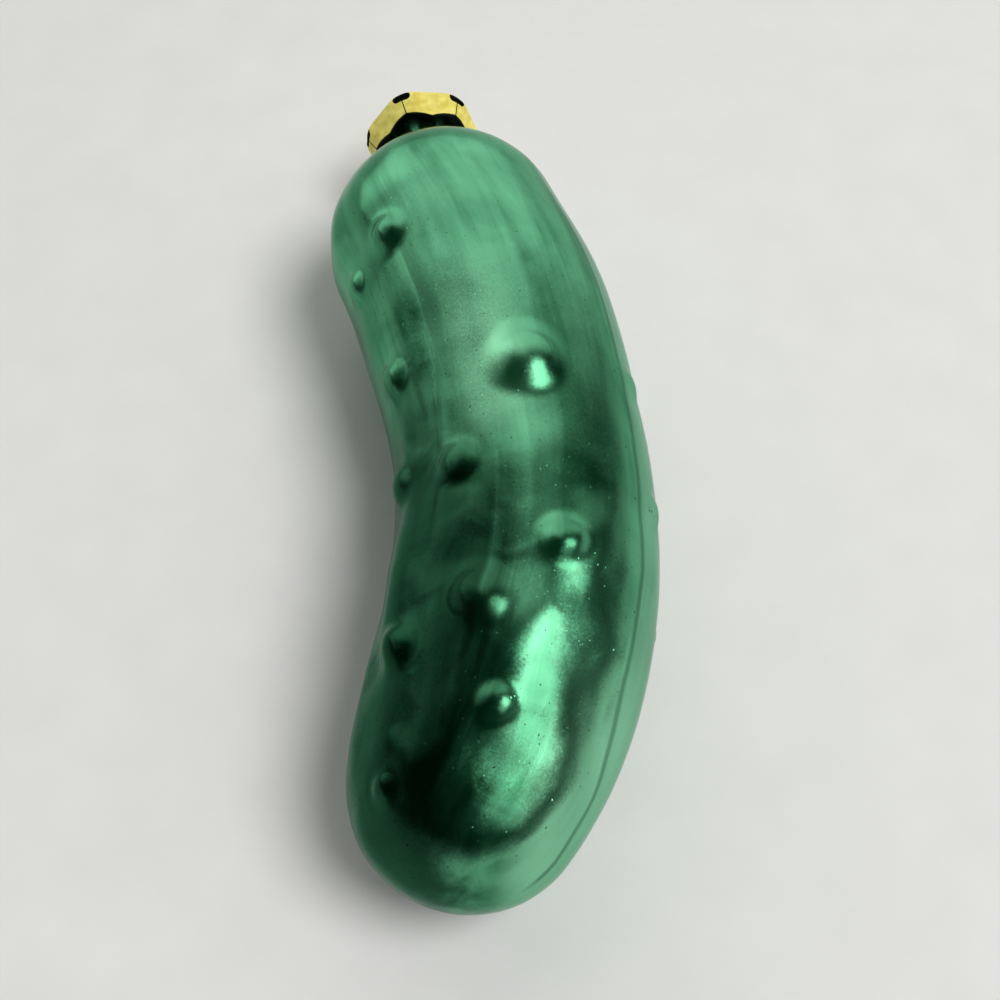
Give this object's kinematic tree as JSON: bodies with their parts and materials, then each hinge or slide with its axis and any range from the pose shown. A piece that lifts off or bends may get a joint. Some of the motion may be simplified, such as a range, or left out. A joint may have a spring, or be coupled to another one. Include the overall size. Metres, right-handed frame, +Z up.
{
  "type": "pickle ornament",
  "caption": "Hanging glass ornament shaped as a bent, warty green pickle, with a petalled metal crown cap on its neck and a sprung wire loop to hang it by.",
  "frame": {"origin": "on the table under the middle of the whole ornament, which lies on its side", "axes": "+Y along the pickle from the blossom end to the cap, +Z up from the table, the hollow of the bend towards -X"},
  "size_m": [0.0404, 0.1168, 0.0327],
  "materials": {
    "green_lacquered_glass": "glossy pearl green lacquer over silvered glass, opaque",
    "gold_cap_metal": "grained gold-coloured sheet",
    "hanger_steel": "drawn wire with a pale gold wash"
  },
  "bodies": {
    "glass_body": {"glass_pickle": "green_lacquered_glass"},
    "cap": {"crown_cap": "gold_cap_metal"},
    "hanger": {"hanger_wire": "hanger_steel"}
  },
  "joints": [
    {"name": "cap_pull", "type": "slide", "parent": "glass_body", "child": "cap", "axis": [-0.1801, 0.9706, -0.1599], "range_m": [0, 0.02]},
    {"name": "hanger_slide", "type": "slide", "parent": "cap", "child": "hanger", "axis": [-0.1801, 0.9706, -0.1599], "range_m": [0, 0.003]}
  ]
}
